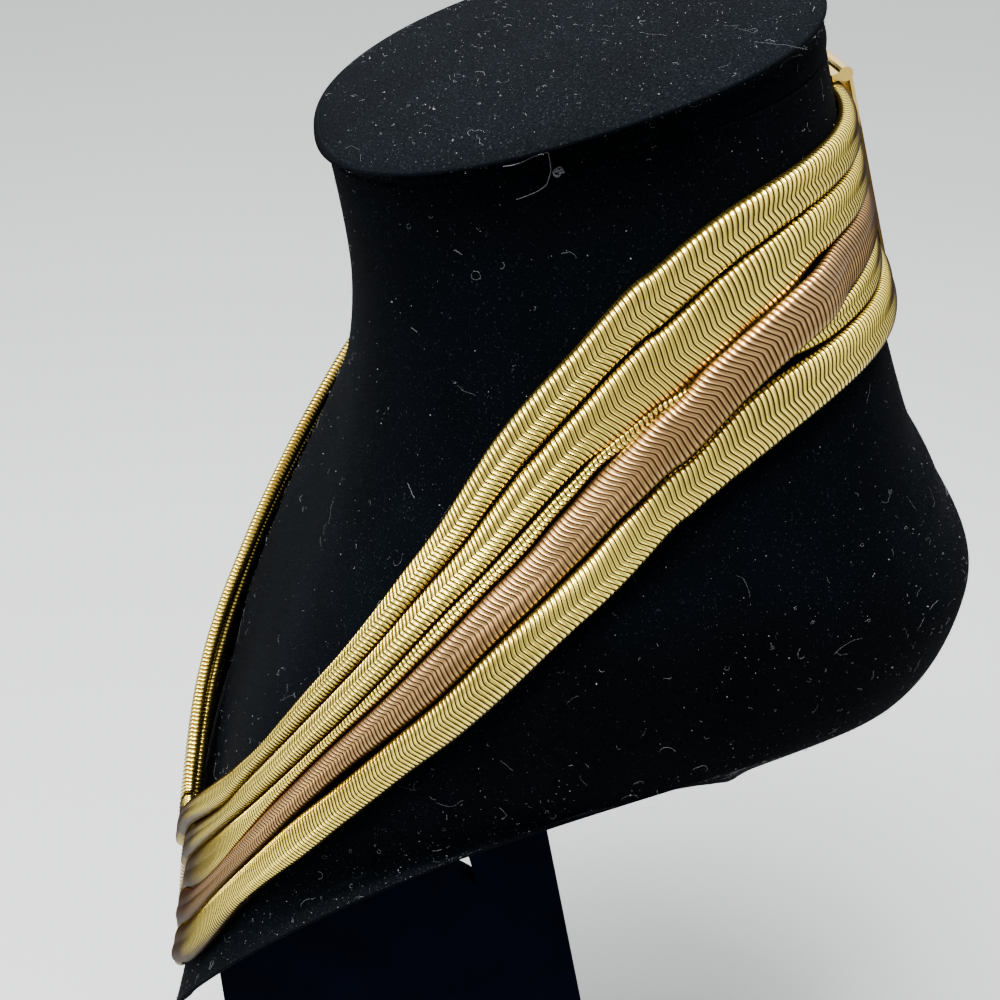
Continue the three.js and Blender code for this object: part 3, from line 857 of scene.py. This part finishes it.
@dataclass
class SnakeChain:
    """One flat woven chain whose links form chevrons across it."""

    node: str
    upper: ChainEdge
    lower: ChainEdge
    stand_off: float
    front_rise: float
    start: float = -END_TURN
    end: float = END_TURN
    thickness: float = THICKNESS
    lift: Lift = Lift.FLAT
    chevron: Chevron = Chevron.TO_FRONT
    rose: bool = False
    side_lift: float = 0.25
    pitch: float = 0.8
    apex_above: float = 1.9
    apex_below: float = 1.1
    groove_depth: float = 0.17
    crest_power: float = 0.5
    tuck: float = 0.0
    steps_per_link: int = 5
    piece: Piece | None = None

    def _lift(self, turn: Array) -> Array:
        """Height above the skin at each turn.

        Args:
            turn: degrees from the front.

        Returns:
            The height in millimetres, without the clearance.
        """
        at = np.abs(turn)
        height = self.side_lift * swell(SIDE_LIFT_TURNS, at)
        if self.lift is Lift.LOW:
            return height + self.stand_off
        height += self.stand_off * (1.0 - smoothstep(*STAND_OFF_TURNS, at))
        height += self.front_rise * (1.0 - smoothstep(*FRONT_RISE_TURNS, at))
        if self.lift is Lift.OVER_SLIM:
            height += (SLIM_THICKNESS + CLEARANCE) * swell(OVER_SLIM_TURNS, at)
        return height

    def _centre(self, turn: Array) -> Array:
        """Points on the skin halfway between both edges of the route."""
        return skin((read_route(self.upper, turn) + read_route(self.lower, turn)) / 2.0, turn)

    def _edges(self, turn: Array) -> tuple[Array, Array, Array]:
        """Middle row, half width in rows and half width in millimetres.

        Args:
            turn: degrees from the front.

        Returns:
            The three arrays.
        """
        high = read_route(self.upper, turn)
        low = read_route(self.lower, turn) + self.tuck / ROWS_BELOW_SEAM * swell(TUCK_TURNS, np.abs(turn))
        across = skin(low, turn) - skin(high, turn)
        along = unit(self._centre(turn + 0.5) - self._centre(turn - 0.5))
        square = np.linalg.norm(across - along * (across * along).sum(-1, keepdims=True), axis=-1)
        share = 0.5 - np.minimum(CLEARANCE / 2.0 / square, MOST_TRIM)
        return (high + low) / 2.0, (low - high) * share, square * share

    def _ring_turns(self, profile: Array) -> tuple[Array, Array]:
        """Turn of every point of every ring, so that the rings follow the chevrons.

        Args:
            profile: the points of one ring, across and up.

        Returns:
            The turns by ring and point, and the place of each ring in its link from 0 to 1.
        """
        turn = np.linspace(self.start, self.end, ROUTE_SAMPLES)
        middle, half_rows, _ = self._edges(turn)
        centre = skin(middle, turn)
        travelled = np.r_[0.0, np.cumsum(np.linalg.norm(np.diff(centre, axis=0), axis=-1))]
        blur = np.exp(-np.linspace(-2.0, 2.0, 2 * DIRECTION_BLUR + 1) ** 2)
        padded = np.pad(unit(np.gradient(centre, axis=0)), ((DIRECTION_BLUR,) * 2, (0, 0)), mode="edge")
        tangent = unit(np.stack([np.convolve(padded[:, c], blur, "valid") for c in range(3)], axis=-1))

        links = int(travelled[-1] / self.pitch)
        LOG.info("%s: %d links, %.0f mm", self.node, links, travelled[-1])
        station = np.arange(links * self.steps_per_link + 1) / self.steps_per_link * self.pitch
        side = np.abs(profile[:, 0])
        reach = np.sqrt(side**2 + POINT_ROUNDING) - side**FLANK_POWER / FLANK_POWER
        apex = np.where(profile[:, 0] < 0.0, self.apex_above, self.apex_below)
        sweep = apex * (POINT_REACH - reach) * self.chevron.value
        turns = np.zeros((len(station), len(profile)))
        for q, w in enumerate(profile[:, 0]):
            edge = skin(middle + w * half_rows, turn)
            reached = travelled + ((edge - centre) * tangent).sum(-1)
            reached = np.maximum.accumulate(reached + np.arange(len(reached)) * LEAST_WAY)
            # the front is at turn 0, so the sweep turns over there
            over = np.tanh(np.interp(station, reached, turn) / TURN_OVER)
            turns[:, q] = np.interp(station - sweep[q] * over, reached, turn)
        return np.clip(turns, self.start, self.end), (station / self.pitch) % 1.0

    def build(self) -> None:
        """Weave the chain: rings that follow the chevrons, with a groove between links."""
        profile = np.concatenate([CHAIN_PROFILE * [-1, 1], CHAIN_PROFILE[1:-1][::-1]])
        turns, link = self._ring_turns(profile)
        groove = 1.0 - np.sin(math.pi * link)[:, None] ** self.crest_power * np.ones(len(profile))
        sink = (groove * self.groove_depth).ravel()
        flat = turns.ravel()
        middle, half_rows, half_width = self._edges(flat)
        push_w = np.gradient(profile[:, 1]) * self.thickness
        push_h = -np.gradient(profile[:, 0]) * SLOPE_HALF_WIDTH
        scale = np.hypot(push_w, push_h) + LEAST_SLOPE
        w, h, push_w, push_h = (np.broadcast_to(row, turns.shape).ravel()
                                for row in (*profile.T, push_w / scale, push_h / scale))
        row = middle + (w + push_w * sink / np.maximum(half_width, LEAST_HALF_WIDTH)) * half_rows
        height = h * self.thickness + push_h * sink
        points = skin(row, flat) + skin_normal(row, flat) * (CLEARANCE + self._lift(flat) + height)[:, None]
        self.piece = mesh_object(f"{self.node}_links", points, ring_faces(len(turns), len(profile)))
        # the groove depth also darkens the chain metal's colour, as painted shade between the links
        point_values(self.piece, "groove", groove.ravel())

    def dress(self, finishes: Finishes) -> None:
        """Give it its metal and set it on the frame.

        Args:
            finishes: the scene's materials.
        """
        self.piece.data.materials.append(finishes.rose if self.rose else finishes.yellow)
        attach(self.piece, BODY)
        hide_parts(self.node)


@dataclass(frozen=True)
class StrandKind:
    """One kind of fibre: number, spread of lengths, curl and least and most radius, in millimetres."""

    count: int
    length_shape: float
    length_scale: float
    least_length: float
    bend: float
    radius: Pair


@dataclass
class Lint:
    """Loose fibres and dust on the velvet."""

    short: StrandKind = StrandKind(900, 1.6, 0.7, 0.3, 0.55, (0.01, 0.028))
    long: StrandKind = StrandKind(150, 2.0, 1.2, 1.8, 0.2, (0.008, 0.016))
    steps: int = 8
    sides: int = 3
    rest_height: float = 0.12
    hop: float = 0.3
    wander: float = 0.25
    axis: Spot = (0.3, 0.1, 0.95)
    specks: int = 8200
    speck_shape: float = 1.5
    speck_scale: float = 0.017
    least_speck: float = 0.016
    speck_skew: float = 0.35
    rows: Pair = (0.02, 6.95)
    tries: int = 3
    shoulder_row: float = 3.5
    shoulder_gain: float = 0.6
    full_depth: float = 110.0
    cap_share: float = 0.16
    cap_reach: float = 0.92
    seed: int = 11
    piece: Piece | None = None
    dust: Piece | None = None

    def _places(self, rng: np.random.Generator, count: int) -> tuple[Array, Array]:
        """Random places on the skin, more of them where it is deep, and on the padded top.

        Args:
            rng: the random source.
            count: how many places.

        Returns:
            The points and the directions away from the bust.
        """
        tries = count * self.tries
        row = rng.uniform(*self.rows, tries)
        turn = rng.uniform(-180, 180, tries)
        size = bust_sections(row)[:, 3] * (1.0 + self.shoulder_gain * (row > self.shoulder_row))
        keep = rng.uniform(0, self.full_depth, tries) < size
        on_cap = int(count * self.cap_share)
        row, turn = row[keep][:count - on_cap], turn[keep][:count - on_cap]
        share = np.sqrt(rng.uniform(0.0, self.cap_reach, on_cap))
        middle = section_middle(0)
        top = (skin(0.0, rng.uniform(-180, 180, on_cap)) - middle) * share[:, None] + middle
        closure = np.array(TOP_CLOSURE)
        top[:, 2] += np.interp(share, closure[:, 0], closure[:, 1])
        upward = np.tile([0.0, 0.0, 1.0], (on_cap, 1))
        return np.concatenate([skin(row, turn), top]), np.concatenate([skin_normal(row, turn), upward])

    def _strands(self, rng: np.random.Generator, kind: StrandKind) -> tuple[Array, Array]:
        """Curved fibres that lie on the velvet.

        Args:
            rng: the random source.
            kind: the kind of fibre.

        Returns:
            The paths and the radii.
        """
        length = rng.gamma(kind.length_shape, kind.length_scale, kind.count) + kind.least_length
        base, normal = self._places(rng, kind.count)
        count = len(base)
        u = unit(np.cross(normal, np.array(self.axis)), TINY)
        v = np.cross(normal, u)
        heading = rng.uniform(0, 2 * math.pi, count)
        curl = rng.normal(0, kind.bend, count)
        pace = (length[:count] / self.steps)[:, None]
        at = np.zeros((count, 2))
        paths = []
        for step in range(self.steps):
            arch = self.hop * np.sin(math.pi * step / (self.steps - 1)) * rng.uniform(0, 1, count)
            rise = (self.rest_height + arch)[:, None]
            paths.append(base + u * at[:, :1] + v * at[:, 1:] + normal * rise)
            heading = heading + curl + rng.normal(0, self.wander, count)
            at = at + np.stack([np.cos(heading), np.sin(heading)], -1) * pace
        radii = np.repeat(rng.uniform(*kind.radius, count)[:, None], self.steps, axis=1)
        return np.stack(paths, axis=1), radii

    def build(self) -> None:
        """Scatter the curved fibres, the longer hairs and the small specks."""
        rng = np.random.default_rng(self.seed)
        strands = [self._strands(rng, kind) for kind in (self.short, self.long)]
        paths, radii = (np.concatenate(both) for both in zip(*strands))
        self.piece = mesh_object("loose_fibres", *tube_mesh(paths, radii, self.sides))

        base, normal = self._places(rng, self.specks)
        size = rng.gamma(self.speck_shape, self.speck_scale, len(base)) + self.least_speck
        corner = np.array([[1, 0, 0], [0, 1, 0], [-1, 0, 0], [0, -1, 0], [0, 0, 1], [0, 0, -1]], float)
        corner = corner + rng.normal(0, 1, (len(base), 6, 3)) * self.speck_skew
        points = base[:, None] + normal[:, None] * self.rest_height + corner * size[:, None, None]
        shape = np.array([[0, 1, 4], [1, 2, 4], [2, 3, 4], [3, 0, 4],
                          [1, 0, 5], [2, 1, 5], [3, 2, 5], [0, 3, 5]])
        faces = (shape[None] + (np.arange(len(base)) * 6)[:, None, None]).reshape(-1, 3)
        self.dust = mesh_object("dust_specks", points.reshape(-1, 3), faces, smooth=False)

    def dress(self, finishes: Finishes) -> None:
        """Give both their pale finish and set them on the frame.

        Args:
            finishes: the scene's materials.
        """
        for piece in (self.piece, self.dust):
            piece.data.materials.append(finishes.lint)
            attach(piece, BODY)


# turn, millimetres below the seam and height over the skin along the loose thread
THREAD_ROUTE = np.array([
    [72.6, 4.4, 0.3], [74.9, 4.0, 0.5], [77.1, 3.5, 0.6], [79.0, 2.7, 0.5], [79.9, 0.8, 0.5],
    [80.4, -0.6, 0.6], [80.5, -2.6, 0.5], [79.2, -2.4, 0.5], [77.6, -3.2, 0.5], [75.8, -4.0, 0.5],
    [74.0, -4.3, 0.5], [72.4, -4.2, 0.4],
])


@dataclass
class LooseThread:
    """The knot on the seam under the padded top, and the thread that hangs from it."""

    knot_turn: float = 81.4
    knot_below: float = 0.6
    knot_height: float = 0.7
    knot_radius: float = 0.75
    knot_swing: float = 0.3
    knot_beat: float = 1.7
    knot_drift: float = 0.37
    knot_coils: int = 7
    thickness: float = 0.05
    sides: int = 6
    blur: int = 6
    samples: int = 160
    piece: Piece | None = None

    @staticmethod
    def _on_skin(turn: Array, below: Array, height: Array) -> Array:
        """Points near the seam.

        Args:
            turn: degrees from the front.
            below: millimetres below the seam.
            height: millimetres over the skin.

        Returns:
            The points.
        """
        row = 1.0 + below / np.where(below < 0.0, ROWS_ABOVE_SEAM, ROWS_BELOW_SEAM)
        row = np.clip(row, 0.05, None)
        return skin(row, turn) + skin_normal(row, turn) * height[:, None]

    def build(self) -> None:
        """Run the thread along its route and wind the knot."""
        t = np.linspace(0.0, len(THREAD_ROUTE) - 1.0, self.samples)
        known = np.arange(len(THREAD_ROUTE))
        turn, below, height = (np.interp(t, known, column) for column in THREAD_ROUTE.T)
        blur = np.hanning(2 * self.blur + 3)[1:-1]
        blur /= blur.sum()
        turn, below = (np.convolve(np.pad(v, self.blur, mode="edge"), blur, "valid") for v in (turn, below))
        thread = self._on_skin(turn, below, height)
        middle = self._on_skin(*np.array([[self.knot_turn], [self.knot_below], [self.knot_height]]))[0]
        angle = np.linspace(0.0, 2.0 * math.pi * self.knot_coils, self.samples)
        drift = angle * self.knot_drift
        wind = np.stack([np.cos(angle) * np.cos(drift), np.sin(angle),
                         np.cos(angle) * np.sin(drift)], axis=-1)
        size = 1.0 - self.knot_swing + self.knot_swing * np.sin(angle * self.knot_beat)
        paths = np.stack([thread, middle + wind * self.knot_radius * size[:, None]])
        radii = np.full(paths.shape[:2], self.thickness)
        self.piece = mesh_object("loose_thread", *tube_mesh(paths, radii, self.sides))

    def dress(self, finishes: Finishes) -> None:
        """Give it its grey finish and set it on the frame."""
        self.piece.data.materials.append(finishes.thread)
        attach(self.piece, BODY)


@dataclass
class FrameParts:
    """The nodes that keep their solid form: clasp, board and base."""

    def dress(self, finishes: Finishes) -> None:
        """Give each node its material.

        Args:
            finishes: the scene's materials.
        """
        choice = {"clasp": finishes.plate, "stand_board": finishes.board, "stand_base": finishes.board}
        for name, material in choice.items():
            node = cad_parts[name]
            node.data.materials.clear()
            node.data.materials.append(material)


# the light tent: brightness by height, and by nearness to the side where it is open
TENT_HEIGHTS = [(0.0, (0.35, 0.36, 0.37)), (0.35, (0.7, 0.71, 0.72)),
                (0.7, (1.0, 1.0, 1.0)), (1.0, (1.0, 1.0, 1.0))]
TENT_OPENING = [(0.6, (1.0, 1.0, 1.0)), (0.96, (0.3, 0.3, 0.31))]


@dataclass(frozen=True)
class Lamp:
    """A soft square lamp: place, aim and side in millimetres, power in watts."""

    name: str
    place: Spot
    aim: Spot
    side: float
    power: float

    def build(self) -> None:
        """Hang the lamp and turn it to its aim."""
        data = bpy.data.lights.new(self.name, "AREA")
        data.size = self.side * MM
        data.energy = self.power
        lamp = bpy.data.objects.new(self.name, data)
        bpy.context.scene.collection.objects.link(lamp)
        lamp.location = Vector(self.place) * MM
        lamp.rotation_euler = (Vector(self.aim) - Vector(self.place)).to_track_quat("-Z", "Y").to_euler()


@dataclass
class Studio:
    """Pale floor, soft tent light and the camera at the photo's angle."""

    azimuth: float = 83.3
    elevation: float = 31.63
    roll: float = -0.44
    distance: float = 260.0
    focal_share: float = 1.4102
    sensor: float = 36.0
    target: Spot = (0.0, -0.37, 5.94)
    floor_reach: float = 3000.0
    tent_strength: float = 2.9
    tent_opening: Spot = (0.94, -0.12, 0.3)
    lamps: tuple[Lamp, ...] = (Lamp("tent_top", (120, -120, 850), (0, 0, 180), 420, 32.0),
                               Lamp("tent_front", (250, -800, 500), (0, 0, 180), 400, 7.0))

    def build(self, finishes: Finishes) -> None:
        """Make the floor, the light and the camera.

        Args:
            finishes: the scene's materials.
        """
        corner = np.array([[-1, -1, 0], [1, -1, 0], [1, 1, 0], [-1, 1, 0]]) * self.floor_reach
        floor = mesh_object("floor", corner, np.array([[0, 1, 2, 3]]))
        floor.data.materials.append(finishes.floor)
        self._world()
        for lamp in self.lamps:
            lamp.build()
        self._camera()

    def _world(self) -> None:
        """Light the scene evenly, brighter above than at the horizon, darker from the open side."""
        world = bpy.data.worlds.new("light_tent")
        bpy.context.scene.world = world
        world.use_nodes = True
        sheet = NodeSheet(world.node_tree)
        way = sheet.add("ShaderNodeTexCoord").outputs["Generated"]
        nearness = sheet.add("ShaderNodeVectorMath", operation="DOT_PRODUCT")
        sheet.join(way, nearness.inputs[0])
        nearness.inputs[1].default_value = self.tent_opening
        tent = sheet.mix("MULTIPLY", 1.0, sheet.ramp(sheet.upright(way), TENT_HEIGHTS),
                         sheet.ramp(nearness.outputs["Value"], TENT_OPENING))
        sheet.join_all(world.node_tree.nodes["Background"], Color=tent, Strength=self.tent_strength)

    def _camera(self) -> None:
        """Place the camera as the photo was taken."""
        az, el, roll = (math.radians(v) for v in (self.azimuth, self.elevation, self.roll))
        back = Vector((math.sin(az) * math.cos(el), -math.cos(az) * math.cos(el), math.sin(el)))
        right = Vector((math.cos(az), math.sin(az), 0.0))
        up = back.cross(right)
        turned_right = right * math.cos(roll) + up * math.sin(roll)
        turned_up = up * math.cos(roll) - right * math.sin(roll)
        data = bpy.data.cameras.new("photo_view")
        data.sensor_width = self.sensor
        data.lens = self.sensor * self.focal_share
        data.clip_start = 0.01
        data.clip_end = 50.0
        camera = bpy.data.objects.new("photo_view", data)
        bpy.context.scene.collection.objects.link(camera)
        place = (Vector(self.target) + Vector(NECK_BASE) + back * self.distance) * MM
        axes = Matrix((turned_right, turned_up, back)).transposed().to_4x4()
        camera.matrix_world = Matrix.Translation(place) @ axes
        bpy.context.scene.camera = camera


def chains() -> list[SnakeChain]:
    """The necklace's chains from the top, not yet built."""
    return [
        SnakeChain("chain_top_left", ChainEdge.TOP, ChainEdge.SECOND, 2.2, 1.8, start=-0.3),
        SnakeChain("chain_top_right", ChainEdge.TOP, ChainEdge.SECOND, 2.2, 1.8, end=-0.55),
        SnakeChain("chain_second", ChainEdge.SECOND, ChainEdge.SECOND_LOW, 1.0, 1.1, tuck=1.5),
        SnakeChain("chain_slim", ChainEdge.SLIM_UPPER, ChainEdge.SLIM_LOWER, 0.6, 0.8,
                   thickness=SLIM_THICKNESS, apex_above=0.5, apex_below=0.5),
        SnakeChain("chain_rose", ChainEdge.ROSE, ChainEdge.ROSE_LOW, 1.0, 0.0, lift=Lift.OVER_SLIM,
                   chevron=Chevron.TO_NAPE, rose=True),
        SnakeChain("chain_bottom", ChainEdge.BOTTOM_UP, ChainEdge.BOTTOM, 0.3, 0.0, lift=Lift.LOW),
    ]


def main() -> None:
    """Build the studio and every sub-assembly in order, and report each piece."""
    logging.basicConfig(level=logging.INFO, format="%(name)s: %(message)s")
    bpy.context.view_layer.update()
    finishes = Finishes(Effects())
    Studio().build(finishes)
    bust = NeckBust()
    bust.build()
    bust.dress(finishes)
    LOG.info("%s built", bust.piece.name)
    for chain in chains():
        chain.build()
        chain.dress(finishes)
        LOG.info("%s woven", chain.piece.name)
    lint = Lint()
    lint.build()
    lint.dress(finishes)
    LOG.info("%s and %s scattered", lint.piece.name, lint.dust.name)
    thread = LooseThread()
    thread.build()
    thread.dress(finishes)
    LOG.info("%s tied", thread.piece.name)
    FrameParts().dress(finishes)


if __name__ == "__main__":
    main()
